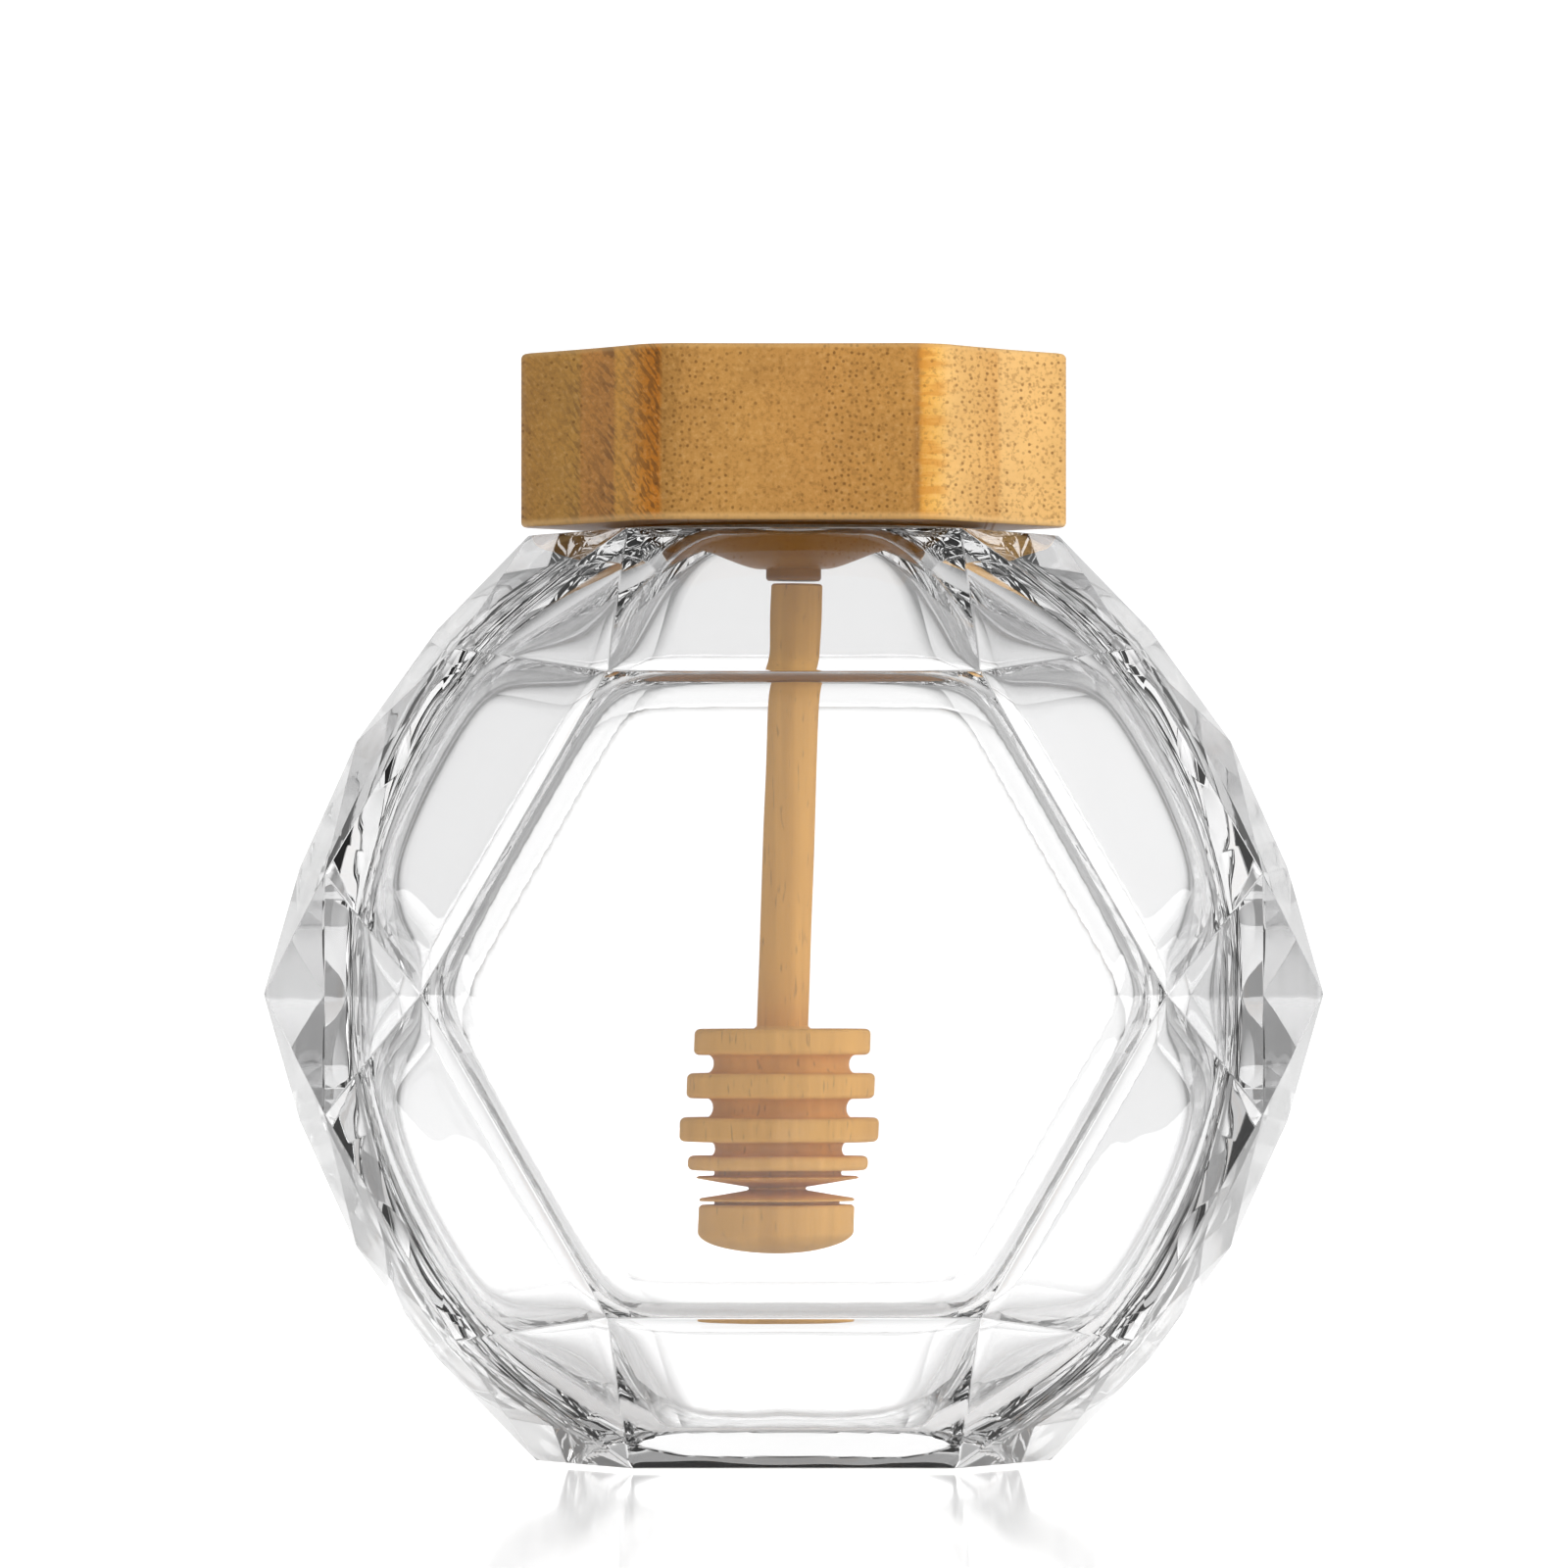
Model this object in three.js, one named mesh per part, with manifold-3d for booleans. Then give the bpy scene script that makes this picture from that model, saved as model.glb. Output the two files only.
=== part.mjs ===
// A faceted glass honey jar with a six-sided bamboo lid. A wooden dipper hangs from the lid inside the jar.
// Millimetres, +Z up, front of the jar towards -Y, origin in the middle of the base.

import * as THREE from 'three';
import { ConvexGeometry } from 'three/addons/geometries/ConvexGeometry.js';
import { mergeVertices } from 'three/addons/utils/BufferGeometryUtils.js';
import Module from 'manifold-3d';

const wasm = await Module();
wasm.setup();

// Glass outside: rings of facet corners round a level axis that runs from front to back
const AXIS_HEIGHT = 48.4;
const GIRTH_RADIUS = 55.0;
const GIRTH_FOOT_DROP = 47.6;
const WINDOW_RADIUS = 37.7;
const KITE_RADIUS = 49.4;
const KITE_ANGLE = 14.4;
const RIDGE_RADIUS = 52.9;
const RIDGE_ANGLE = 14.5;
const SIDE_PEAK_RADIUS = 52.4;
const SHOULDER_HEIGHT = 96.0;
const SHOULDER_HALF_WIDTH = 17.0;
const FOOT_HALF_WIDTH = 16.9;
const FOOT_BEVEL = 0.8;

// Glass inside: a rounded copy of the outside, and a round mouth
const WINDOW_WALL = 3.8;
const FACET_WALL = 3.4;
const FLOOR_WALL = 5.2;
const SHOULDER_WALL = 1.4;
const CAVITY_SHARPNESS = 26;
const MOUTH_RADIUS = 19.9;
const MOUTH_LIP = 0.5;
const MOUTH_DEPTH = 8.0;
const MOUTH_CUTTER_ABOVE = 2.0;

// Lid: a six-sided block with hollowed faces, a round plug under it and a hub for the stick
const LID_RADIUS = 29.2;
const LID_BOTTOM = 96.8;
const LID_TOP = 114.8;
const LID_CORNER = 3.2;
const LID_CORNER_REACH = 0.92;
const LID_CORNER_INSET = 0.15;
const LID_HOLLOW = 0.45;
const LID_BEVEL = 0.5;
const PLUG_RADIUS = 17.6;
const PLUG_BOTTOM = 95.2;
const PLUG_ROUND = 0.6;
const HUB_TOP_RADIUS = 12.0;
const HUB_LOW_RADIUS = 3.9;
const HUB_BOTTOM = 91.2;
const HUB_ROUND = 0.15;
const HUB_HOLLOW = 0.1;
const COLLAR_RADIUS = 2.85;
const COLLAR_BOTTOM = 90.0;

// Seal: a soft ring round the plug, with two lips towards the glass
const SEAL_GAP = 0.3;
const SEAL_LIP_RADIUS = 19.6;
const SEAL_GROOVE_RADIUS = 18.9;
const SEAL_LIP_ROUND = 0.25;
const SEAL_TOP = 96.5;
const SEAL_BOTTOM = 95.2;

// Dipper: a slim stick and a turned head of five discs over a rounded end
const STICK_RADIUS = 2.65;
const STICK_TOP = 89.7;
const HEAD_TOP = 44.8;
const HEAD_BOTTOM = 21.5;
const DISC_ROUND = 0.55;
const DISC_ROUND_SHARE = 0.4;
const GROOVE_ROUND_SHARE = 0.25;
const END_RADIUS = 8.1;
const END_SHOULDER = 0.9;
const END_STRAIGHT = 2.9;
const END_STEPS = 6;
const STICK_TOP_OFFSET = 0.35;
const STICK_LEAN = 2.3;

// Discs of the head from the top down: radius, height, then the groove below it: radius, height
const HEAD_RINGS = [
  { disc: 9.1, tall: 2.7, groove: 7.0, gap: 1.9 },
  { disc: 9.7, tall: 2.6, groove: 6.9, gap: 2.0 },
  { disc: 10.3, tall: 2.5, groove: 6.6, gap: 1.45 },
  { disc: 9.35, tall: 1.5, groove: 6.6, gap: 0.55 },
  { disc: 8.5, tall: 0.9, groove: 3.1, gap: 1.1 },
];

// How finely round shapes are divided, and how near two points are one
const TURN_STEPS = 48;
const DIPPER_STEPS = 24;
const CAVITY_STEPS_ROUND = 48;
const CAVITY_STEPS_UP = 30;
const LIP_STEPS = 3;
const CURVE_STEPS = 7;
const SAME_POINT = 1e-4;

// Small helpers

const rad = THREE.MathUtils.degToRad;

function solidOf(geometry) {
  const bare = geometry.index ? geometry.clone() : geometry;
  bare.deleteAttribute('normal');
  bare.deleteAttribute('uv');
  const merged = mergeVertices(bare, SAME_POINT);
  return new wasm.Manifold(new wasm.Mesh({
    numProp: 3,
    vertProperties: new Float32Array(merged.attributes.position.array),
    triVerts: new Uint32Array(merged.index.array),
  }));
}

function geometryOf(solid) {
  const mesh = solid.getMesh();
  const geometry = new THREE.BufferGeometry();
  geometry.setAttribute('position', new THREE.BufferAttribute(mesh.vertProperties, 3));
  geometry.setIndex(new THREE.BufferAttribute(mesh.triVerts, 1));
  geometry.computeVertexNormals();
  return geometry;
}

// A turned shape about +Z from [radius, height] pairs that go up from the axis and back to it
function turned(profile, steps) {
  const points = profile.map(([radius, height]) => new THREE.Vector2(radius, height));
  return new THREE.LatheGeometry(points, steps).rotateX(Math.PI / 2);
}

// A point at a radius and an angle round the front-to-back axis, at a depth from the middle plane
function ringPoint(radius, degrees, depth) {
  const x = radius * Math.cos(rad(degrees));
  const z = AXIS_HEIGHT + radius * Math.sin(rad(degrees));
  return new THREE.Vector3(x, depth, z);
}

// Where a ring of the given radius meets the ball that the facet corners lie on
function ballDepth(radius) {
  return Math.sqrt(GIRTH_RADIUS ** 2 - radius ** 2);
}

// Glass jar

function glassCorners() {
  const corners = [];
  const windowDepth = ballDepth(WINDOW_RADIUS);
  const kiteDepth = ballDepth(KITE_RADIUS);
  const footTop = AXIS_HEIGHT - GIRTH_FOOT_DROP;
  const girthHalf = GIRTH_RADIUS * Math.cos(rad(60));
  for (let turn = 0; turn < 360; turn += 60) {
    corners.push(ringPoint(WINDOW_RADIUS, turn, -windowDepth), ringPoint(WINDOW_RADIUS, turn, windowDepth));
  }
  for (const side of [0, 180]) {
    corners.push(ringPoint(GIRTH_RADIUS, side, 0));
    for (const tilt of [-1, 1]) {
      corners.push(ringPoint(SIDE_PEAK_RADIUS, side + 30 * tilt, 0));
      for (const ridge of [RIDGE_ANGLE, 60 - RIDGE_ANGLE]) {
        corners.push(ringPoint(RIDGE_RADIUS, side + ridge * tilt, 0));
      }
      for (const kite of [KITE_ANGLE, 60 - KITE_ANGLE]) {
        corners.push(ringPoint(KITE_RADIUS, side + kite * tilt, -kiteDepth));
        corners.push(ringPoint(KITE_RADIUS, side + kite * tilt, kiteDepth));
      }
    }
  }
  for (const side of [-1, 1]) {
    corners.push(new THREE.Vector3(side * girthHalf, 0, SHOULDER_HEIGHT));
    corners.push(new THREE.Vector3(side * girthHalf, 0, footTop));
    corners.push(new THREE.Vector3(side * (girthHalf - FOOT_BEVEL), 0, 0));
    for (const depth of [-kiteDepth, kiteDepth]) {
      corners.push(new THREE.Vector3(side * SHOULDER_HALF_WIDTH, depth, SHOULDER_HEIGHT));
      corners.push(new THREE.Vector3(side * FOOT_HALF_WIDTH, depth, footTop));
      const footDepth = depth - Math.sign(depth) * FOOT_BEVEL;
      corners.push(new THREE.Vector3(side * (FOOT_HALF_WIDTH - FOOT_BEVEL / 2), footDepth, 0));
    }
  }
  return corners;
}

// The plane through two rings: its tilt, and how far it lies from the middle of the jar
function slopePlane(outer, inner) {
  const run = new THREE.Vector2(outer.depth - inner.depth, inner.radius - outer.radius);
  const normal = run.normalize().multiplyScalar(Math.sign(run.x));
  return { radial: normal.x, deep: normal.y, reach: normal.x * outer.radius + normal.y * outer.depth };
}

// The walls of the cavity as planes: a normal and a distance from the middle of the jar
function cavityPlanes() {
  const windowDepth = ballDepth(WINDOW_RADIUS);
  const kiteDepth = ballDepth(KITE_RADIUS);
  const kiteNormal = KITE_RADIUS * Math.cos(rad(30 - KITE_ANGLE));
  const kiteSpan = KITE_RADIUS * Math.cos(rad(KITE_ANGLE));
  const band = slopePlane(
    { radius: WINDOW_RADIUS * Math.cos(rad(30)), depth: windowDepth },
    { radius: kiteNormal, depth: kiteDepth },
  );
  const corner = slopePlane(
    { radius: WINDOW_RADIUS, depth: windowDepth },
    { radius: kiteSpan, depth: kiteDepth },
  );
  const flank = slopePlane({ radius: kiteNormal, depth: kiteDepth }, { radius: SIDE_PEAK_RADIUS, depth: 0 });
  const tip = slopePlane({ radius: kiteSpan, depth: kiteDepth }, { radius: GIRTH_RADIUS, depth: 0 });
  const planes = [
    { normal: new THREE.Vector3(0, 0, 1), reach: SHOULDER_HEIGHT - AXIS_HEIGHT - SHOULDER_WALL },
    { normal: new THREE.Vector3(0, 0, -1), reach: AXIS_HEIGHT - FLOOR_WALL },
  ];
  for (const side of [-1, 1]) {
    planes.push({ normal: new THREE.Vector3(0, side, 0), reach: windowDepth - WINDOW_WALL });
    for (let turn = 0; turn < 360; turn += 60) {
      for (const [slope, offset] of [[band, 30], [flank, 30], [corner, 0], [tip, 0]]) {
        const angle = rad(turn + offset);
        const normal = new THREE.Vector3(
          slope.radial * Math.cos(angle),
          side * slope.deep,
          slope.radial * Math.sin(angle),
        );
        planes.push({ normal, reach: slope.reach - FACET_WALL });
      }
    }
  }
  return planes;
}

// A ball pushed in to the planes, with their meeting edges softly rounded
function cavity() {
  const planes = cavityPlanes();
  const geometry = new THREE.SphereGeometry(1, CAVITY_STEPS_ROUND, CAVITY_STEPS_UP).rotateX(Math.PI / 2);
  const position = geometry.attributes.position;
  const direction = new THREE.Vector3();
  for (let index = 0; index < position.count; index += 1) {
    direction.fromBufferAttribute(position, index).normalize();
    let sum = 0;
    for (const plane of planes) {
      sum += Math.max(0, direction.dot(plane.normal) / plane.reach) ** CAVITY_SHARPNESS;
    }
    direction.multiplyScalar(sum ** (-1 / CAVITY_SHARPNESS));
    position.setXYZ(index, direction.x, direction.y, direction.z + AXIS_HEIGHT);
  }
  return geometry;
}

function mouth() {
  const above = SHOULDER_HEIGHT + MOUTH_CUTTER_ABOVE;
  const profile = [[0, SHOULDER_HEIGHT - MOUTH_DEPTH], [MOUTH_RADIUS, SHOULDER_HEIGHT - MOUTH_DEPTH]];
  for (let step = 0; step <= LIP_STEPS; step += 1) {
    const angle = rad(90 * step / LIP_STEPS);
    const radius = MOUTH_RADIUS + MOUTH_LIP * (1 - Math.cos(angle));
    profile.push([radius, SHOULDER_HEIGHT - MOUTH_LIP * (1 - Math.sin(angle))]);
  }
  profile.push([MOUTH_RADIUS + MOUTH_LIP, above], [0, above]);
  return turned(profile, TURN_STEPS);
}

function jarGlass() {
  const outside = solidOf(new ConvexGeometry(glassCorners()));
  const hollow = solidOf(cavity()).add(solidOf(mouth()));
  return geometryOf(outside.subtract(hollow));
}

// Bamboo lid

// Six faces that dip inwards, joined by round corners
function lidOutline(inset) {
  const shape = new THREE.Shape();
  const flat = LID_RADIUS * Math.cos(rad(30)) - inset;
  const halfFace = (LID_RADIUS - inset / Math.cos(rad(30))) / 2 - LID_CORNER;
  const place = (turn, along, out) => new THREE.Vector2(
    out * Math.cos(rad(turn)) - along * Math.sin(rad(turn)),
    out * Math.sin(rad(turn)) + along * Math.cos(rad(turn)),
  );
  for (let face = 0; face < 6; face += 1) {
    const turn = 30 + 60 * face;
    const start = place(turn, -halfFace, flat);
    const dip = place(turn, 0, flat - 2 * LID_HOLLOW);
    const end = place(turn, halfFace, flat);
    const next = place(turn + 60, -halfFace, flat);
    const corner = place(turn, halfFace + LID_CORNER * LID_CORNER_REACH, flat - LID_CORNER_INSET);
    if (face === 0) {
      shape.moveTo(start.x, start.y);
    }
    shape.quadraticCurveTo(dip.x, dip.y, end.x, end.y);
    shape.quadraticCurveTo(corner.x, corner.y, next.x, next.y);
  }
  return shape;
}

function lidBamboo() {
  const block = new THREE.ExtrudeGeometry(lidOutline(LID_BEVEL), {
    depth: LID_TOP - LID_BOTTOM - 2 * LID_BEVEL,
    curveSegments: CURVE_STEPS,
    bevelEnabled: true,
    bevelSegments: 2,
    bevelSize: LID_BEVEL,
    bevelThickness: LID_BEVEL,
  }).translate(0, 0, LID_BOTTOM + LID_BEVEL);
  const plug = turned([
    [0, COLLAR_BOTTOM],
    [COLLAR_RADIUS, COLLAR_BOTTOM],
    [COLLAR_RADIUS, HUB_BOTTOM],
    [HUB_LOW_RADIUS, HUB_BOTTOM + HUB_ROUND],
    [(HUB_LOW_RADIUS + HUB_TOP_RADIUS) / 2, (HUB_BOTTOM + PLUG_BOTTOM) / 2 - HUB_HOLLOW],
    [HUB_TOP_RADIUS, PLUG_BOTTOM],
    [PLUG_RADIUS - PLUG_ROUND, PLUG_BOTTOM],
    [PLUG_RADIUS, PLUG_BOTTOM + PLUG_ROUND],
    [PLUG_RADIUS, LID_BOTTOM + LID_BEVEL],
    [0, LID_BOTTOM + LID_BEVEL],
  ], TURN_STEPS);
  return geometryOf(solidOf(block).add(solidOf(plug)));
}

// Seal ring

function sealRing() {
  const inner = PLUG_RADIUS + SEAL_GAP;
  const middle = (SEAL_TOP + SEAL_BOTTOM) / 2;
  const lip = SEAL_LIP_ROUND;
  return turned([
    [inner, SEAL_BOTTOM],
    [SEAL_LIP_RADIUS - lip, SEAL_BOTTOM],
    [SEAL_LIP_RADIUS, SEAL_BOTTOM + lip],
    [SEAL_GROOVE_RADIUS, middle],
    [SEAL_LIP_RADIUS, SEAL_TOP - lip],
    [SEAL_LIP_RADIUS - lip, SEAL_TOP],
    [inner, SEAL_TOP],
    [inner, SEAL_BOTTOM],
  ], TURN_STEPS);
}

// Dipper

// Half of the turned outline, written from the stick down to the rounded end
function dipperOutline() {
  const line = [[0, STICK_TOP], [STICK_RADIUS, STICK_TOP], [STICK_RADIUS, HEAD_TOP]];
  let height = HEAD_TOP;
  for (const { disc, tall, groove, gap } of HEAD_RINGS) {
    const round = Math.min(DISC_ROUND, tall * DISC_ROUND_SHARE);
    line.push([disc - round, height], [disc, height - round]);
    line.push([disc, height - tall + round], [disc - round, height - tall]);
    const hollow = gap * GROOVE_ROUND_SHARE;
    line.push([groove + hollow, height - tall], [groove, height - tall - gap / 2]);
    line.push([groove + hollow, height - tall - gap]);
    height -= tall + gap;
  }
  line.push([END_RADIUS - END_SHOULDER * 2, height], [END_RADIUS, height - END_SHOULDER]);
  const low = height - END_SHOULDER - END_STRAIGHT;
  line.push([END_RADIUS, low]);
  const drop = low - HEAD_BOTTOM;
  for (let step = 1; step <= END_STEPS; step += 1) {
    const angle = rad(90 * step / END_STEPS);
    line.push([END_RADIUS * Math.cos(angle), low - drop * Math.sin(angle)]);
  }
  line[line.length - 1][0] = 0;
  return line.reverse();
}

// The dipper hangs a little aslant: how far its middle is off the jar's axis at a height
function lean(height) {
  const drop = (STICK_TOP - height) / (STICK_TOP - HEAD_BOTTOM);
  return STICK_TOP_OFFSET - STICK_LEAN * drop;
}

function dipper() {
  const geometry = turned(dipperOutline(), DIPPER_STEPS);
  const position = geometry.attributes.position;
  for (let index = 0; index < position.count; index += 1) {
    position.setX(index, position.getX(index) + lean(position.getZ(index)));
  }
  return geometry;
}

// The finished object

function material(name, color, roughness, extra = {}) {
  return new THREE.MeshStandardMaterial({ name, color, roughness, metalness: 0, ...extra });
}

function piece(name, geometry, look) {
  const mesh = new THREE.Mesh(geometry, look);
  mesh.name = name;
  return mesh;
}

const clearGlass = material('clear glass', '#e9eeee', 0.03, { transparent: true, opacity: 0.35 });
const bamboo = material('bamboo', '#b98a4c', 0.5);
const paleSilicone = material('pale silicone', '#dcd8cc', 0.4, { transparent: true, opacity: 0.7 });
const beech = material('turned beech', '#c9965f', 0.6);

const honeyJar = new THREE.Group();
honeyJar.name = 'honey_jar';
honeyJar.add(piece('jar_glass', jarGlass(), clearGlass));
honeyJar.add(piece('lid_bamboo', lidBamboo(), bamboo));
honeyJar.add(piece('seal_ring', sealRing(), paleSilicone));
honeyJar.add(piece('dipper', dipper(), beech));

export default honeyJar;
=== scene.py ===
"""A faceted glass honey jar with a bamboo lid and a wooden dipper, dressed over its fixed frame."""

import math

import bmesh
import bpy
import numpy as np
from bpy.props import FloatProperty, FloatVectorProperty, IntProperty, PointerProperty
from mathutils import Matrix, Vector


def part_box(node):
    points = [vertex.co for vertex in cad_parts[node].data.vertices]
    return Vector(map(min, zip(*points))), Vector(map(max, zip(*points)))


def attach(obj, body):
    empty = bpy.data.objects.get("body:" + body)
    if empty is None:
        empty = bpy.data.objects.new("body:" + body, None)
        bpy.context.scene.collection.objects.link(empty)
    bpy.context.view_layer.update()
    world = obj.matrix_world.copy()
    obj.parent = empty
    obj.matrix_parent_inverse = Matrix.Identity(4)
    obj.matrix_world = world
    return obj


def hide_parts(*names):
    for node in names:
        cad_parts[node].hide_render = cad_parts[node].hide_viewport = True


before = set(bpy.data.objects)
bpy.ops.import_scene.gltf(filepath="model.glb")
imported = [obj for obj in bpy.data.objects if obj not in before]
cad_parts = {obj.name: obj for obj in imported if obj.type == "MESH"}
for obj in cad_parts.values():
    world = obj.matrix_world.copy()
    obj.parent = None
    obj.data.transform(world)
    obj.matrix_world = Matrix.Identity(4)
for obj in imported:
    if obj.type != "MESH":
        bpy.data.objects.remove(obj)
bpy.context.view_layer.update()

bl_info = {
    "name": "Faceted honey jar",
    "version": (1, 0, 0),
    "blender": (4, 5, 0),
    "location": "3D View > Sidebar > Honey jar",
    "description": "Builds a faceted glass honey jar with a bamboo lid, a seal ring and a wooden dipper",
    "category": "Add Mesh",
}

MM = 0.001
BODY = "root"
GLASS_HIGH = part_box("jar_glass")[1]
LID_LOW, LID_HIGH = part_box("lid_bamboo")
SEAL_LOW, SEAL_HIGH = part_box("seal_ring")
DIPPER_LOW, DIPPER_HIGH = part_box("dipper")
# Corners closer than this are one corner
SAME_PLACE = 1e-7
# Faces round the turned plug, mouth and seal
ROUND_STEPS = 160


def size(name, description, default):
    return FloatProperty(name=name, description=description, default=default, unit="LENGTH")


def colour(name, description, default):
    return FloatVectorProperty(
        name=name, description=description, default=default, size=4, subtype="COLOR", min=0.0, max=1.0
    )


class GlassSizes(bpy.types.PropertyGroup):
    """Sizes of the glass, in metres"""

    girth: size("Girth", "From the middle to the left and right corners", GLASS_HIGH[0])
    axis_height: size("Axis height", "Height of the middle of the hexagonal window", 48.4 * MM)
    window: size("Window", "From the middle to a corner of the flat window", 37.7 * MM)
    kite: size("Kite", "From the middle to the side corners of a kite facet", 49.4 * MM)
    kite_angle: FloatProperty(
        name="Kite angle", description="Half of the angle that a kite facet spans",
        default=math.radians(14.4), subtype="ANGLE",
    )
    ridge: size("Ridge", "From the middle to the small corners of the outline", 52.9 * MM)
    side_peak: size("Side peak", "From the middle to the outline between two kites", 52.4 * MM)
    shoulder_half: size("Shoulder half width", "Half of the shoulder's front edge", 17.0 * MM)
    foot_half: size("Foot half width", "Half of the foot's front edge", 16.9 * MM)
    foot_bevel: size("Foot bevel", "How far the edge of the base is cut back", 0.8 * MM)
    edge_round: size("Edge round", "How far the facet edges are rounded", 0.55 * MM)
    window_wall: size("Window wall", "Thickness of the glass at the window", 3.8 * MM)
    facet_wall: size("Facet wall", "Thickness of the glass at the slanted facets", 3.4 * MM)
    floor_wall: size("Floor", "Thickness of the glass at the base", 5.2 * MM)
    shoulder_wall: size("Shoulder wall", "Thickness of the glass at the shoulder", 1.4 * MM)
    mouth: size("Mouth", "Radius of the round mouth", 19.9 * MM)


class LidSizes(bpy.types.PropertyGroup):
    """Sizes of the bamboo lid, in metres"""

    radius: size("Radius", "From the middle to a sharp corner", 29.2 * MM)
    corner: size("Corner", "Length of face taken by the rounding of a corner", 3.2 * MM)
    hollow: size("Hollow", "How deep each face dips in its middle", 0.45 * MM)
    bevel: size("Bevel", "Rounding of the top and bottom edges", 0.5 * MM)
    plug: size("Plug", "Radius of the plug", 17.6 * MM)


class DipperSizes(bpy.types.PropertyGroup):
    """Sizes of the dipper, in metres"""

    stick: size("Stick", "Radius of the stick", 2.65 * MM)
    head_top: size("Head top", "Height of the top of the head", 44.8 * MM)
    steps: IntProperty(name="Steps", description="Faces round the turned shape", default=96, min=12)


class Finishes(bpy.types.PropertyGroup):
    """Colours of the materials"""

    glass: colour("Glass", "Tint of the clear glass", (1.0, 1.0, 1.0, 1.0))
    # Painted shade: the grey laid on the glass where it is seen at a slant
    glass_slant_shade: colour("Glass, slanting", "Tint of the glass seen at a slant", (0.65, 0.65, 0.655, 1.0))
    # Pale flecks of the bamboo, and the colour of the painted highlights on the lid's top and bottom rims
    bamboo_pale_and_rim_highlight: colour("Bamboo, pale", "Pale flecks and rims of the lid", (0.80, 0.50, 0.20, 1.0))
    bamboo_dark: colour("Bamboo, dark", "Brown flecks of the lid", (0.27, 0.125, 0.028, 1.0))
    bamboo_pore: colour("Bamboo fibre ends", "Dark specks of the end grain", (0.155, 0.062, 0.010, 1.0))
    bamboo_amber: colour("Bamboo, amber", "Level streaks of one strip", (0.56, 0.21, 0.015, 1.0))
    # Darker brown of the plug and of the lid's underside: partly stain, partly painted shade under the lid
    plug: colour("Plug", "Stained underside of the lid", (0.30, 0.115, 0.011, 1.0))
    beech_light: colour("Dipper, light", "Pale part of the dipper's wood", (0.93, 0.50, 0.125, 1.0))
    beech_dark: colour("Dipper, dark", "Grain of the dipper's wood", (0.62, 0.29, 0.060, 1.0))
    beech_fleck: colour("Dipper, flecks", "Short dark flecks of the dipper's wood", (0.36, 0.16, 0.055, 1.0))
    seal: colour("Seal", "Pale silicone", (0.80, 0.77, 0.68, 1.0))
    seal_pale: colour("Seal, pale", "Cloudy part of the silicone", (0.88, 0.86, 0.80, 1.0))


class HoneyJar(bpy.types.PropertyGroup):
    """All sizes and colours of the honey jar"""

    glass: PointerProperty(type=GlassSizes)
    lid: PointerProperty(type=LidSizes)
    dipper: PointerProperty(type=DipperSizes)
    finish: PointerProperty(type=Finishes)


class Term:
    """A shader value that can be written in sums"""

    def __init__(self, shader, socket):
        self.shader = shader
        self.socket = socket

    def _with(self, operation, first, second):
        return self.shader.node("ShaderNodeMath", {"operation": operation}, {0: first, 1: second})[0]

    def __add__(self, other):
        return self._with("ADD", self, other)

    __radd__ = __add__

    def __sub__(self, other):
        return self._with("SUBTRACT", self, other)

    def __rsub__(self, other):
        return self._with("SUBTRACT", other, self)

    def __mul__(self, other):
        return self._with("MULTIPLY", self, other)

    __rmul__ = __mul__

    def __truediv__(self, other):
        return self._with("DIVIDE", self, other)

    def __rtruediv__(self, other):
        return self._with("DIVIDE", other, self)

    def smooth(self, low, high):
        """0 below low, 1 above high, and a soft step between them; falls where low is the higher"""
        flip = low > high
        span = (high, low) if flip else (low, high)
        node = self.shader.node(
            "ShaderNodeMapRange",
            {"interpolation_type": "SMOOTHSTEP"},
            {0: self, 1: span[0], 2: span[1], 3: 1.0 if flip else 0.0, 4: 0.0 if flip else 1.0},
        )
        return node[0]


class Outputs:
    """The outputs of a node, each as a Term"""

    def __init__(self, shader, node):
        self.shader = shader
        self.node = node

    def __getitem__(self, key):
        return Term(self.shader, self.node.outputs[key])


class Shader:
    """Builds one node tree"""

    def __init__(self, tree):
        self.tree = tree

    def node(self, kind, settings=None, inputs=None):
        """Any node, from its type, its settings, and the values or links of its sockets"""
        node = self.tree.nodes.new(kind)
        for name, value in (settings or {}).items():
            if name == "stops":
                self.fill_ramp(node.color_ramp, value)
            else:
                setattr(node, name, value)
        for key, value in (inputs or {}).items():
            if isinstance(value, Term):
                self.tree.links.new(value.socket, node.inputs[key])
            else:
                node.inputs[key].default_value = value
        return Outputs(self, node)

    def fill_ramp(self, ramp, stops):
        while len(ramp.elements) > 1:
            ramp.elements.remove(ramp.elements[-1])
        ramp.elements[0].position = stops[0][0]
        ramp.elements[0].color = stops[0][1]
        for position, shade in stops[1:]:
            ramp.elements.new(position).color = shade

    def mix(self, factor, first, second, blend="MIX"):
        settings = {"data_type": "RGBA", "blend_type": blend, "clamp_factor": True}
        return self.node("ShaderNodeMix", settings, {0: factor, 6: first, 7: second})[2]

    def place(self, scale):
        """Object coordinates, scaled"""
        here = self.node("ShaderNodeTexCoord")["Object"]
        return self.node("ShaderNodeMapping", {}, {"Vector": here, "Scale": scale})[0]

    def noise(self, place, detail=3.0, roughness=0.5, warp=0.0):
        inputs = {"Vector": place, "Scale": 1.0, "Detail": detail, "Roughness": roughness, "Distortion": warp}
        return self.node("ShaderNodeTexNoise", {"normalize": True}, inputs)["Fac"]

    def together(self, x, y, z):
        return self.node("ShaderNodeCombineXYZ", {}, {0: x, 1: y, 2: z})[0]

    def bump(self, strength, distance, height):
        inputs = {"Strength": strength, "Distance": distance, "Height": height}
        return self.node("ShaderNodeBump", {}, inputs)["Normal"]


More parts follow.
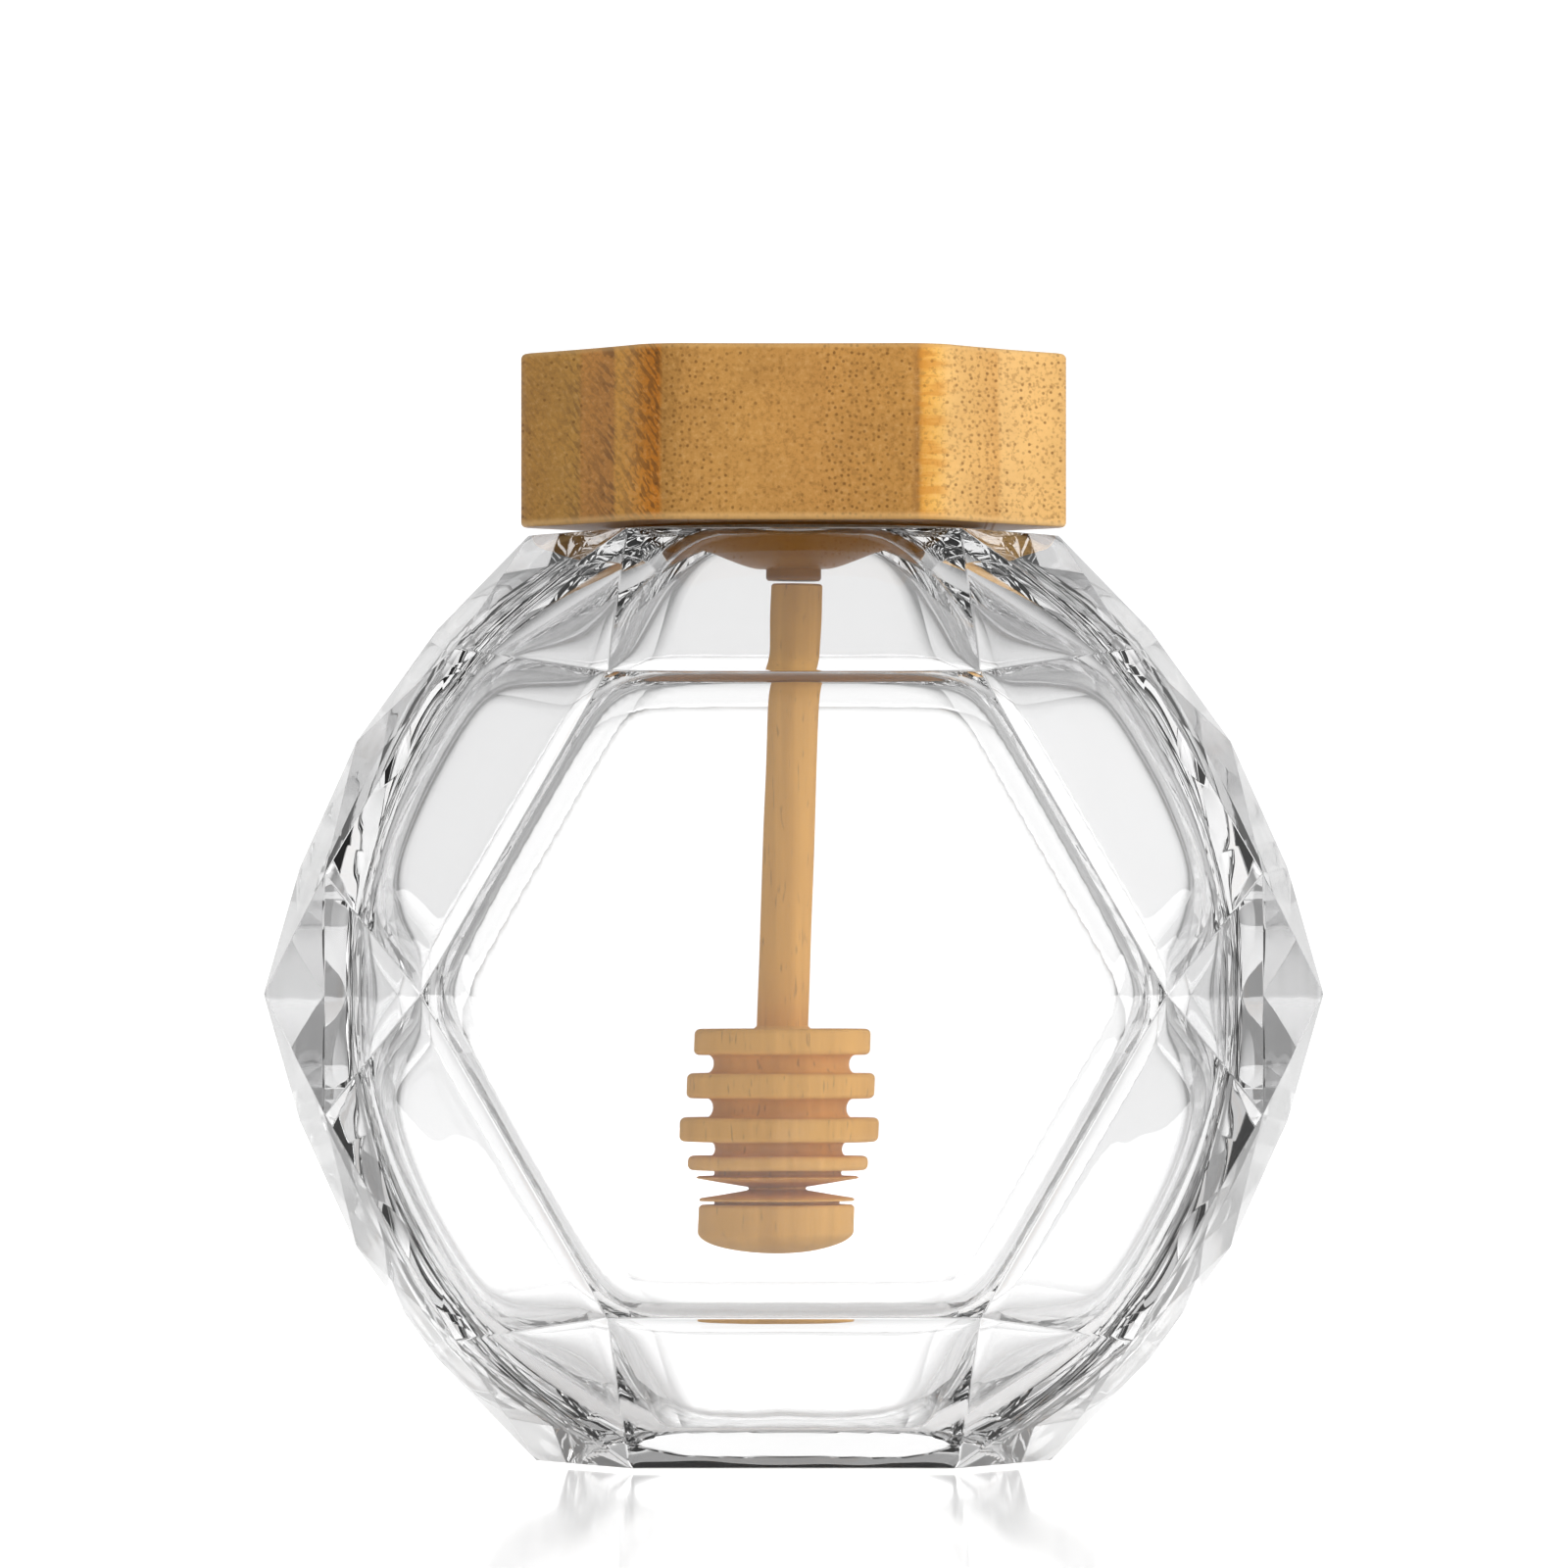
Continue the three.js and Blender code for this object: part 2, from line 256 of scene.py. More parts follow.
def new_material(name):
    """A material with an empty tree, its Principled node and its builder"""
    material = bpy.data.materials.new(name)
    material.use_nodes = True
    tree = material.node_tree
    tree.nodes.clear()
    shader = Shader(tree)
    surface = shader.node("ShaderNodeBsdfPrincipled")
    shader.node("ShaderNodeOutputMaterial", {}, {"Surface": surface["BSDF"]})
    return material, shader, surface.node


def link(shader, surface, name, term):
    shader.tree.links.new(term.socket, surface.inputs[name])


def glass_material(finish):
    """Clear glass with faint waves, and painted shade that greys it where it is seen at a slant, less so near
    the base
    """
    material, shader, surface = new_material("clear_glass")
    height = shader.node("ShaderNodeSeparateXYZ", {}, {0: shader.node("ShaderNodeTexCoord")["Object"]})["Z"]
    # Painted shade: greyer where the glass is seen at a slant, less so near the base
    slant = shader.node("ShaderNodeLayerWeight", {}, {"Blend": 0.5})["Facing"].smooth(0.02, 0.62)
    depth = 0.5 + height.smooth(0.005, 0.045) * 0.5
    link(shader, surface, "Base Color", shader.mix(slant * depth, finish.glass, finish.glass_slant_shade))
    surface.inputs["Roughness"].default_value = 0.0
    surface.inputs["IOR"].default_value = 1.5
    surface.inputs["Transmission Weight"].default_value = 1.0
    waves = shader.noise(shader.place(scale=(90.0, 90.0, 55.0)), detail=1.0, roughness=0.4)
    link(shader, surface, "Normal", shader.bump(0.5, 0.00012, waves))
    return material


# Width in millimetres that the two tables of strips cover
STRIP_SPAN = 60.0
# Tones of the bamboo strips across the lid, partly their own and partly painted light that makes the
# right-hand strips lighter and the left-hand ones darker: millimetres from the middle, then the colour there
STRIP_TONES_AND_SIDE_LIGHT = (
    (-30.0, (0.52, 0.25, 0.045)), (-22.1, (0.54, 0.27, 0.045)), (-21.9, (0.58, 0.25, 0.045)),
    (-18.5, (0.55, 0.23, 0.040)), (-18.2, (0.75, 0.36, 0.055)), (-16.6, (0.72, 0.32, 0.045)),
    (-15.0, (0.64, 0.23, 0.020)), (-13.8, (0.59, 0.20, 0.015)), (-13.4, (0.53, 0.26, 0.060)),
    (-6.0, (0.58, 0.29, 0.070)), (2.7, (0.60, 0.29, 0.070)), (3.0, (0.60, 0.29, 0.070)),
    (11.9, (0.60, 0.29, 0.065)), (12.6, (0.38, 0.17, 0.035)), (13.2, (0.81, 0.39, 0.055)),
    (14.6, (0.86, 0.47, 0.100)), (15.8, (0.86, 0.51, 0.17)), (20.9, (0.74, 0.39, 0.11)),
    (21.3, (0.86, 0.51, 0.18)), (30.0, (0.82, 0.47, 0.15)),
)
# How much of each mark the strips carry: fibre ends, slanting streaks, level streaks
STRIP_MARKS = (
    (-30.0, (0.20, 0.40, 0.0)), (-26.6, (0.12, 0.30, 0.0)), (-24.5, (0.10, 0.12, 0.0)),
    (-22.1, (0.15, 0.75, 0.0)), (-21.9, (0.10, 0.15, 0.0)), (-20.0, (0.05, 0.50, 0.0)),
    (-18.4, (0.10, 1.00, 0.0)), (-18.2, (0.00, 0.20, 0.0)), (-16.5, (0.00, 0.65, 0.0)),
    (-13.8, (0.20, 1.00, 0.0)), (-13.3, (0.60, 0.25, 0.0)), (-11.0, (0.72, 0.05, 0.0)),
    (-8.0, (0.42, 0.00, 0.0)), (-4.5, (0.14, 0.00, 0.0)), (2.7, (0.12, 0.00, 0.0)),
    (2.9, (1.00, 0.00, 0.0)), (5.8, (0.92, 0.00, 0.0)), (8.5, (0.55, 0.00, 0.0)),
    (12.5, (0.35, 0.00, 0.1)), (12.8, (0.05, 0.00, 0.9)), (14.8, (0.05, 0.00, 0.8)),
    (15.8, (0.30, 0.00, 0.2)), (18.2, (0.55, 0.00, 0.0)), (21.0, (0.95, 0.00, 0.0)),
    (21.2, (0.25, 0.00, 0.0)), (27.0, (0.45, 0.00, 0.0)), (30.0, (0.55, 0.00, 0.0)),
)


def across(stops):
    """Ramp stops from millimetres across the lid"""
    return [((place + STRIP_SPAN / 2) / STRIP_SPAN, (*shade, 1.0)) for place, shade in stops]


# How much of a slanting streak's way runs to the right, and how much down
STREAK_WAY = (0.545, 0.839)


def fibre_ends(shader, x, z, amount):
    """Small round specks where the fibres are cut across, more of them where the amount is higher"""
    fibres = shader.node(
        "ShaderNodeTexVoronoi",
        {"feature": "F1", "voronoi_dimensions": "2D"},
        {"Vector": shader.together(x, z, 0.0), "Scale": 1.28, "Randomness": 0.68},
    )
    chance = shader.node("ShaderNodeSeparateColor", {}, {0: fibres["Color"]})
    shown = (amount * 1.3 - chance["Red"]).smooth(-0.30, 0.20)
    return fibres["Distance"].smooth(0.27, 0.12) * shown * (0.55 + chance["Green"] * 0.45)


def slanting_streaks(shader, x, depth, z, bend):
    """Strokes that run down to the right"""
    right, down = STREAK_WAY
    along = x * right - z * down
    aside = x * down + z * right + bend
    place = shader.together(aside * 3.1, depth * 25.0, along * 0.75)
    return shader.noise(place, detail=1.5, roughness=0.45).smooth(0.48, 0.60)


def level_streaks(shader, x, depth, z):
    """Strokes that run level"""
    place = shader.together(x * 0.22, depth * 25.0, z * 1.5)
    return shader.noise(place, detail=2.0, roughness=0.5).smooth(0.46, 0.62)


def bamboo_material(finish, name="laminated_bamboo", stain_and_shade=False):
    """Strips glued side by side, their fibres running from front to back; for the plug, a darker brown that
    is partly its own stain and partly painted shade under the lid
    """
    material, shader, surface = new_material(name)
    here = shader.node("ShaderNodeTexCoord")["Object"]
    axes = shader.node("ShaderNodeSeparateXYZ", {}, {0: here})
    x, z = axes["X"] * 1000.0, axes["Z"] * 1000.0
    sway = shader.noise(shader.place(scale=(70.0, 12.0, 90.0)), detail=2.0)
    share = (x + (sway - 0.5) * 0.5 + STRIP_SPAN / 2) / STRIP_SPAN
    # Strip tones, with painted light: lighter to the right, darker to the left
    tone = shader.node("ShaderNodeValToRGB", {"stops": across(STRIP_TONES_AND_SIDE_LIGHT)}, {0: share})["Color"]
    marks = shader.node("ShaderNodeValToRGB", {"stops": across(STRIP_MARKS)}, {0: share})["Color"]
    mark = shader.node("ShaderNodeSeparateColor", {}, {0: marks})
    cloud = shader.noise(shader.place(scale=(150.0, 25.0, 150.0)), detail=4.0, roughness=0.55)
    fleck = shader.noise(shader.place(scale=(2300.0, 60.0, 2300.0)), detail=2.0, roughness=0.6)
    base = shader.mix(cloud.smooth(0.25, 0.75), (0.78, 0.77, 0.74, 1.0), (0.93, 0.93, 0.91, 1.0))
    base = shader.mix(1.0, tone, base, "MULTIPLY")
    base = shader.mix(fleck.smooth(0.50, 0.75) * 0.22, base, finish.bamboo_pale_and_rim_highlight)
    base = shader.mix(fleck.smooth(0.49, 0.34) * 0.42, base, finish.bamboo_dark)

    dots = fibre_ends(shader, x, z, mark["Red"])
    slants = slanting_streaks(shader, x, axes["Y"], z, (cloud - 0.5) * 1.4) * mark["Green"]
    levels = level_streaks(shader, x, axes["Y"], z) * mark["Blue"]
    base = shader.mix(slants * 0.72, base, finish.bamboo_pore)
    base = shader.mix(levels * 0.70, base, finish.bamboo_amber)
    base = shader.mix(dots * 0.72, base, finish.bamboo_pore)
    # The plug and the lid's underside: darker brown, partly stain and partly painted shade
    if stain_and_shade:
        base = shader.mix(0.86, base, finish.plug)
    else:
        # Painted highlights: the bottom and top rims of the lid are lightened towards the pale colour
        rims = z.smooth(97.75, 97.15) * 0.55 + z.smooth(114.15, 114.6) * 0.35
        base = shader.mix(rims, base, finish.bamboo_pale_and_rim_highlight)
    link(shader, surface, "Base Color", base)
    link(shader, surface, "Roughness", (0.30 if stain_and_shade else 0.44) + dots * 0.2 + cloud * 0.08)
    link(shader, surface, "Normal", shader.bump(0.3, 0.00006, fleck * 0.3 - dots - slants * 0.4))
    surface.inputs["Specular IOR Level"].default_value = 0.08 if stain_and_shade else 0.22
    return material


def beech_material(finish):
    """Pale wood with fine upright grain and short dark flecks"""
    material, shader, surface = new_material("turned_beech")
    grain = shader.noise(shader.place(scale=(900.0, 900.0, 40.0)), detail=4.0, roughness=0.6, warp=0.3)
    cloud = shader.noise(shader.place(scale=(130.0, 130.0, 45.0)), detail=3.0)
    fleck = shader.noise(shader.place(scale=(2600.0, 2600.0, 420.0)), detail=1.0)
    rings = shader.noise(shader.place(scale=(520.0, 90.0, 14.0)), detail=2.0, warp=0.5)
    pale = 0.10 + grain * 0.65 + cloud * 0.5 + (rings - 0.5) * 0.9
    base = shader.mix(pale, finish.beech_dark, finish.beech_light)
    flecks = fleck.smooth(0.64, 0.74)
    base = shader.mix(flecks * 0.45, base, finish.beech_fleck)
    link(shader, surface, "Base Color", base)
    link(shader, surface, "Roughness", 0.58 + grain * 0.15)
    link(shader, surface, "Normal", shader.bump(0.3, 0.00006, grain - flecks))
    surface.inputs["Specular IOR Level"].default_value = 0.3
    return material


def silicone_material(finish):
    """Milky, half clear silicone"""
    material, shader, surface = new_material("pale_silicone")
    cloud = shader.noise(shader.place(scale=(300.0, 300.0, 300.0)), detail=2.0)
    base = shader.mix(cloud, finish.seal, finish.seal_pale)
    link(shader, surface, "Base Color", base)
    link(shader, surface, "Roughness", 0.35 + cloud * 0.2)
    surface.inputs["Transmission Weight"].default_value = 0.85
    surface.inputs["IOR"].default_value = 1.41
    return material


def floor_material():
    """A white glossy table top that glows a little, so that it has no horizon"""
    material, shader, surface = new_material("studio_floor")
    cloud = shader.noise(shader.place(scale=(3.0, 3.0, 3.0)), detail=1.0)
    base = shader.mix(cloud, (0.93, 0.93, 0.93, 1.0), (0.95, 0.95, 0.95, 1.0))
    link(shader, surface, "Base Color", base)
    surface.inputs["Roughness"].default_value = 0.07
    surface.inputs["Specular IOR Level"].default_value = 0.5
    surface.inputs["Emission Color"].default_value = (1.0, 1.0, 1.0, 1.0)
    surface.inputs["Emission Strength"].default_value = 0.38
    return material


def new_object(name, mesh):
    piece = bpy.data.objects.new(name, mesh)
    bpy.context.scene.collection.objects.link(piece)
    return piece


def object_from(name, shape):
    """A new object from a bmesh, which is freed"""
    mesh = bpy.data.meshes.new(name)
    shape.to_mesh(mesh)
    shape.free()
    return new_object(name, mesh)


def round_edges(shape, edges, offset):
    bmesh.ops.bevel(
        shape, geom=edges, offset=offset, offset_type="OFFSET", segments=4, profile=0.5, affect="EDGES",
        clamp_overlap=True,
    )


def face_outwards(mesh):
    shape = bmesh.new()
    shape.from_mesh(mesh)
    bmesh.ops.remove_doubles(shape, verts=shape.verts, dist=SAME_PLACE)
    bmesh.ops.recalc_face_normals(shape, faces=shape.faces)
    shape.to_mesh(mesh)
    shape.free()


def baked(piece):
    """The piece's mesh with its modifiers in it, put back on the piece, and the modifiers removed"""
    bpy.context.view_layer.update()
    graph = bpy.context.evaluated_depsgraph_get()
    mesh = bpy.data.meshes.new_from_object(piece.evaluated_get(graph))
    piece.modifiers.clear()
    old = piece.data
    piece.data = mesh
    bpy.data.meshes.remove(old)
    mesh.name = piece.name
    return mesh


def drop(piece):
    mesh = piece.data
    bpy.data.objects.remove(piece)
    bpy.data.meshes.remove(mesh)


def turning_tree():
    """Geometry Nodes: spins a profile line about the upright axis and leans the result"""
    tree = bpy.data.node_groups.get("turning")
    if tree:
        return tree
    tree = bpy.data.node_groups.new("turning", "GeometryNodeTree")
    face = tree.interface
    face.new_socket("Profile", in_out="INPUT", socket_type="NodeSocketGeometry")
    face.new_socket("Steps", in_out="INPUT", socket_type="NodeSocketInt")
    face.new_socket("Lean top", in_out="INPUT", socket_type="NodeSocketFloat")
    face.new_socket("Lean per metre", in_out="INPUT", socket_type="NodeSocketFloat")
    face.new_socket("Top height", in_out="INPUT", socket_type="NodeSocketFloat")
    face.new_socket("Material", in_out="INPUT", socket_type="NodeSocketMaterial")
    face.new_socket("Turned shape", in_out="OUTPUT", socket_type="NodeSocketGeometry")
    build = Shader(tree)
    given = build.node("NodeGroupInput")
    count = build.node("GeometryNodeAttributeDomainSize", {"component": "MESH"}, {0: given["Profile"]})[0]
    grid = build.node(
        "GeometryNodeMeshGrid", {},
        {"Size X": 1.0, "Size Y": 1.0, "Vertices X": count, "Vertices Y": given["Steps"] + 1.0},
    )["Mesh"]
    here = build.node("GeometryNodeInputPosition")[0]
    axes = build.node("ShaderNodeSeparateXYZ", {}, {0: here})
    row = (axes["X"] + 0.5) * (count - 1.0) + 0.5
    turn = (axes["Y"] + 0.5) * (2 * math.pi)
    sample = build.node(
        "GeometryNodeSampleIndex", {"data_type": "FLOAT_VECTOR", "domain": "POINT"}, {}
    )
    value = next(socket for socket in sample.node.inputs if socket.name == "Value" and socket.enabled)
    tree.links.new(given["Profile"].socket, sample.node.inputs["Geometry"])
    tree.links.new(here.socket, value)
    whole = build.node("ShaderNodeMath", {"operation": "FLOOR"}, {0: row})[0]
    tree.links.new(whole.socket, sample.node.inputs["Index"])
    found = build.node("ShaderNodeSeparateXYZ", {}, {0: sample[0]})
    cosine = build.node("ShaderNodeMath", {"operation": "COSINE"}, {0: turn})[0]
    sine = build.node("ShaderNodeMath", {"operation": "SINE"}, {0: turn})[0]
    lean = given["Lean top"] + (given["Top height"] - found["Z"]) * given["Lean per metre"]
    place = build.node(
        "ShaderNodeCombineXYZ", {}, {0: found["X"] * cosine + lean, 1: found["X"] * sine, 2: found["Z"]}
    )[0]
    moved = build.node("GeometryNodeSetPosition", {}, {"Geometry": grid, "Position": place})[0]
    joined = build.node("GeometryNodeMergeByDistance", {}, {"Geometry": moved, "Distance": SAME_PLACE})[0]
    real = build.node("GeometryNodeRealizeInstances", {}, {"Geometry": joined})[0]
    dressed = build.node(
        "GeometryNodeSetMaterial", {}, {"Geometry": real, "Material": given["Material"]}
    )[0]
    build.node("NodeGroupOutput", {}, {0: dressed})
    return tree


def set_inputs(modifier, values):
    """Gives a Geometry Nodes modifier its inputs by name, through their identifiers"""
    for item in modifier.node_group.interface.items_tree:
        if item.item_type == "SOCKET" and item.in_out == "INPUT" and item.name in values:
            modifier[item.identifier] = values[item.name]


def turned(name, profile, steps, material, lean_top=0.0, lean_rate=0.0):
    """A closed turned piece from (radius, height) pairs"""
    points = [(radius, 0.0, height) for radius, height in profile]
    mesh = bpy.data.meshes.new(name)
    mesh.from_pydata(points, [(at, at + 1) for at in range(len(points) - 1)], [])
    piece = new_object(name, mesh)
    modifier = piece.modifiers.new("turning", "NODES")
    modifier.node_group = turning_tree()
    set_inputs(modifier, {
        "Steps": steps,
        "Lean top": lean_top,
        "Lean per metre": lean_rate,
        "Top height": max(height for _, height in profile),
        "Material": material,
    })
    face_outwards(baked(piece))
    return piece


def smooth(piece, degrees):
    """Smooth shading that keeps the edges sharper than this angle, with the big faces kept flat"""
    piece.data.shade_smooth()
    piece.data.set_sharp_from_angle(angle=math.radians(degrees))
    modifier = piece.modifiers.new("flat facets", "WEIGHTED_NORMAL")
    modifier.mode = "FACE_AREA"
    modifier.weight = 100
    modifier.keep_sharp = True


def cut(piece, tool, operation="DIFFERENCE"):
    """Cuts a tool from the piece, or joins it on, and drops the tool"""
    modifier = piece.modifiers.new("cut", "BOOLEAN")
    modifier.operation = operation
    modifier.solver = "EXACT"
    modifier.object = tool
    baked(piece)
    drop(tool)


def finished(piece, slot, *nodes):
    """Gives the piece its place in the frame"""
    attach(piece, BODY)
    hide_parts(*nodes)


def settings():
    return bpy.context.scene.honey_jar


# Glass

# Hull faces that meet at less than this are one facet
FLAT_DEGREES = 0.6
# The sixths whose outer slope is cut off by the shoulder and by the foot
UPRIGHT_TURNS = (1, 4)
# How crisply the walls of the hollow meet, and its faces round and from pole to pole
HOLLOW_SHARPNESS = 80
HOLLOW_ROUND = 320
HOLLOW_UP = 208
# Half width and half height of the oval that rounds the hollow off towards the outline
HOLLOW_OVAL = (43.2 * MM, 47.5 * MM)
MOUTH_LIP = 0.5 * MM
MOUTH_STEPS = 8
# How far the tool that opens the mouth reaches below and above the shoulder
MOUTH_REACH = (8.0 * MM, 2.0 * MM)


def ring_point(sizes, radius, angle, depth):
    return Vector((radius * math.cos(angle), depth, sizes.axis_height + radius * math.sin(angle)))


def ball_depth(sizes, radius):
    """How far in front of the middle a corner on the common ball lies"""
    return math.sqrt(sizes.girth ** 2 - radius ** 2)


def glass_corners(sizes):
    """The corners of the facets, in rings round the front-to-back axis, then of the shoulder and foot"""
    window_depth = ball_depth(sizes, sizes.window)
    kite_depth = ball_depth(sizes, sizes.kite)
    girth_half = sizes.girth / 2
    shoulder = GLASS_HIGH[2]
    foot_top = sizes.foot_bevel
    corners = []
    for turn in range(6):
        for depth in (-window_depth, window_depth):
            corners.append(ring_point(sizes, sizes.window, turn * math.pi / 3, depth))
    for side in (0.0, math.pi):
        corners.append(ring_point(sizes, sizes.girth, side, 0.0))
        for tilt in (-1, 1):
            corners.append(ring_point(sizes, sizes.side_peak, side + tilt * math.pi / 6, 0.0))
            for angle in (sizes.kite_angle, math.pi / 3 - sizes.kite_angle):
                corners.append(ring_point(sizes, sizes.ridge, side + tilt * angle, 0.0))
                for depth in (-kite_depth, kite_depth):
                    corners.append(ring_point(sizes, sizes.kite, side + tilt * angle, depth))
    for side in (-1, 1):
        corners.append(Vector((side * girth_half, 0.0, shoulder)))
        corners.append(Vector((side * girth_half, 0.0, foot_top)))
        corners.append(Vector((side * (girth_half - foot_top), 0.0, 0.0)))
        for tilt in (-1, 1):
            depth = tilt * kite_depth
            corners.append(Vector((side * sizes.shoulder_half, depth, shoulder)))
            corners.append(Vector((side * sizes.foot_half, depth, foot_top)))
            corners.append(Vector((side * (sizes.foot_half - foot_top / 2), depth - tilt * foot_top, 0.0)))
    return corners


def glass_outside(sizes):
    """The faceted outside, with rounded edges"""
    shape = bmesh.new()
    for corner in glass_corners(sizes):
        shape.verts.new(corner)
    bmesh.ops.convex_hull(shape, input=shape.verts)
    bmesh.ops.dissolve_limit(
        shape, angle_limit=math.radians(FLAT_DEGREES), verts=shape.verts, edges=shape.edges, delimit=set()
    )
    bmesh.ops.recalc_face_normals(shape, faces=shape.faces)
    round_edges(shape, shape.edges[:], sizes.edge_round)
    return object_from("jar", shape)


def slope_plane(outer, inner):
    """Tilt and distance of the plane through two rings, each given as (radius, depth)"""
    run = Vector((outer[1] - inner[1], inner[0] - outer[0])).normalized()
    if run.x < 0:
        run = -run
    return run.x, run.y, run.x * outer[0] + run.y * outer[1]


def hollow_planes(sizes):
    """The flat walls of the hollow: outward directions and distances from the middle"""
    window_depth = ball_depth(sizes, sizes.window)
    kite_depth = ball_depth(sizes, sizes.kite)
    kite_flat = sizes.kite * math.cos(math.pi / 6 - sizes.kite_angle)
    kite_span = sizes.kite * math.cos(sizes.kite_angle)
    band = slope_plane((sizes.window * math.cos(math.pi / 6), window_depth), (kite_flat, kite_depth))
    corner = slope_plane((sizes.window, window_depth), (kite_span, kite_depth))
    flank = slope_plane((kite_flat, kite_depth), (sizes.side_peak, 0.0))
    tip = slope_plane((kite_span, kite_depth), (sizes.girth, 0.0))
    normals, reaches = [], []
    for side in (-1, 1):
        normals.append((0.0, side, 0.0))
        reaches.append(window_depth - sizes.window_wall)
        for turn in range(6):
            for slope, offset in ((band, 0.5), (flank, 0.5), (corner, 0.0), (tip, 0.0)):
                if slope is flank and turn in UPRIGHT_TURNS:
                    continue
                radial, deep, reach = slope
                angle = (turn + offset) * math.pi / 3
                normals.append((radial * math.cos(angle), side * deep, radial * math.sin(angle)))
                reaches.append(reach - sizes.facet_wall)
    return np.array(normals), np.array(reaches)


def glass_hollow(sizes):
    """A ball pushed in to the walls of the hollow, which leaves their meetings softly rounded"""
    shape = bmesh.new()
    bmesh.ops.create_uvsphere(shape, u_segments=HOLLOW_ROUND, v_segments=HOLLOW_UP, radius=1.0)
    hollow = object_from("hollow", shape)
    mesh = hollow.data
    normals, reaches = hollow_planes(sizes)
    points = np.empty(len(mesh.vertices) * 3)
    mesh.vertices.foreach_get("co", points)
    points = points.reshape(-1, 3)
    points /= np.linalg.norm(points, axis=1, keepdims=True)
    pull = np.maximum(points @ (normals / reaches[:, None]).T, 0.0)
    oval = np.hypot(points[:, 0] / HOLLOW_OVAL[0], points[:, 2] / HOLLOW_OVAL[1])
    total = np.sum(pull ** HOLLOW_SHARPNESS, axis=1) + oval ** HOLLOW_SHARPNESS
    points *= (total ** (-1.0 / HOLLOW_SHARPNESS))[:, None]
    ceiling = GLASS_HIGH[2] - sizes.axis_height - sizes.shoulder_wall
    ground = sizes.axis_height - sizes.floor_wall
    points *= np.minimum(1.0, ceiling / np.maximum(points[:, 2], ceiling))[:, None]
    points *= np.minimum(1.0, ground / np.maximum(-points[:, 2], ground))[:, None]
    points[:, 2] += sizes.axis_height
    mesh.vertices.foreach_set("co", points.ravel())
    mesh.update()
    return hollow


def mouth_profile(sizes):
    """The tool that opens the mouth, widening over the rounded lip"""
    lip, top = MOUTH_LIP, GLASS_HIGH[2]
    low, high = top - MOUTH_REACH[0], top + MOUTH_REACH[1]
    profile = [(0.0, low), (sizes.mouth, low)]
    for step in range(MOUTH_STEPS + 1):
        angle = step * math.pi / (2 * MOUTH_STEPS)
        profile.append((sizes.mouth + lip * (1 - math.cos(angle)), top - lip * (1 - math.sin(angle))))
    profile += [(sizes.mouth + lip, high), (0.0, high)]
    return profile


class HONEYJAR_OT_glass(bpy.types.Operator):
    """Build the faceted glass jar"""

    bl_idname = "honeyjar.glass"
    bl_label = "Glass jar"

    def execute(self, context):
        sizes = settings().glass
        material = glass_material(settings().finish)
        jar = glass_outside(sizes)
        cut(jar, glass_hollow(sizes))
        cut(jar, turned("mouth", mouth_profile(sizes), ROUND_STEPS, material))
        face_outwards(jar.data)
        jar.data.materials.clear()
        jar.data.materials.append(material)
        smooth(jar, 50.0)
        finished(jar, "glass", "jar_glass")
        return {"FINISHED"}


# Lid

LID_BOTTOM = 96.8 * MM
FACE_STEPS = 16
CORNER_STEPS = 8
# Where the point that bends a corner stands: the share of the corner along the face, and how far inside it
CORNER_REACH = 0.92
CORNER_INSET = 0.15 * MM
# An edge whose ends differ by less than this in height is level
LEVEL = 1e-6
PLUG_BOTTOM = 95.2 * MM
PLUG_TOP = 97.4 * MM
PLUG_ROUND = 0.6 * MM
PLUG_STEPS = 6
# Radii of the hub at its narrow and wide end, the height of its bottom, and how its side curves
HUB_RADII = (3.9 * MM, 12.0 * MM)
HUB_BOTTOM = 91.2 * MM
HUB_STEPS = 12
HUB_CURVE = 1.25
HUB_BULGE = 0.1 * MM
COLLAR = 2.85 * MM
COLLAR_ROUND = 0.2 * MM
# Every face below the first height takes the darker plug colour, partly stain and partly painted shade under
# the lid, and below the second those that look down
STAIN_AND_SHADE_TOP = 96.7 * MM
STAIN_AND_SHADE_UNDERSIDE = 96.9 * MM
LOOKS_DOWN = -0.9


def curve(start, middle, end, steps):
    """Points that leave the start towards the middle and come round to just before the end"""
    points = []
    for step in range(steps):
        share = step / steps
        points.append((1 - share) ** 2 * start + 2 * share * (1 - share) * middle + share ** 2 * end)
    return points


def lid_outline(sizes):
    """Six dipping faces joined by round corners, as a loop of points"""
    flat = sizes.radius * math.cos(math.pi / 6)
    half = sizes.radius / 2 - sizes.corner
    points = []

    def place(turn, along, out):
        return Vector((
            out * math.cos(turn) - along * math.sin(turn),
            out * math.sin(turn) + along * math.cos(turn),
        ))

    for face in range(6):
        turn = (face + 0.5) * math.pi / 3
        start, end = place(turn, -half, flat), place(turn, half, flat)
        dip = place(turn, 0.0, flat - 2 * sizes.hollow)
        corner = place(turn, half + sizes.corner * CORNER_REACH, flat - CORNER_INSET)
        after = place(turn + math.pi / 3, -half, flat)
        points += curve(start, dip, end, FACE_STEPS)
        points += curve(end, corner, after, CORNER_STEPS)
    return points


def lid_block(sizes):
    """The six-sided block with its top and bottom edges rounded"""
    outline = lid_outline(sizes)
    shape = bmesh.new()
    low = [shape.verts.new((point.x, point.y, LID_BOTTOM)) for point in outline]
    high = [shape.verts.new((point.x, point.y, LID_HIGH[2])) for point in outline]
    shape.faces.new(low)
    shape.faces.new(high)
    count = len(outline)
    for at in range(count):
        after = (at + 1) % count
        shape.faces.new((low[at], low[after], high[after], high[at]))
    bmesh.ops.recalc_face_normals(shape, faces=shape.faces)
    rims = [edge for edge in shape.edges if abs(edge.verts[0].co.z - edge.verts[1].co.z) < LEVEL]
    round_edges(shape, rims, sizes.bevel)
    return object_from("lid", shape)


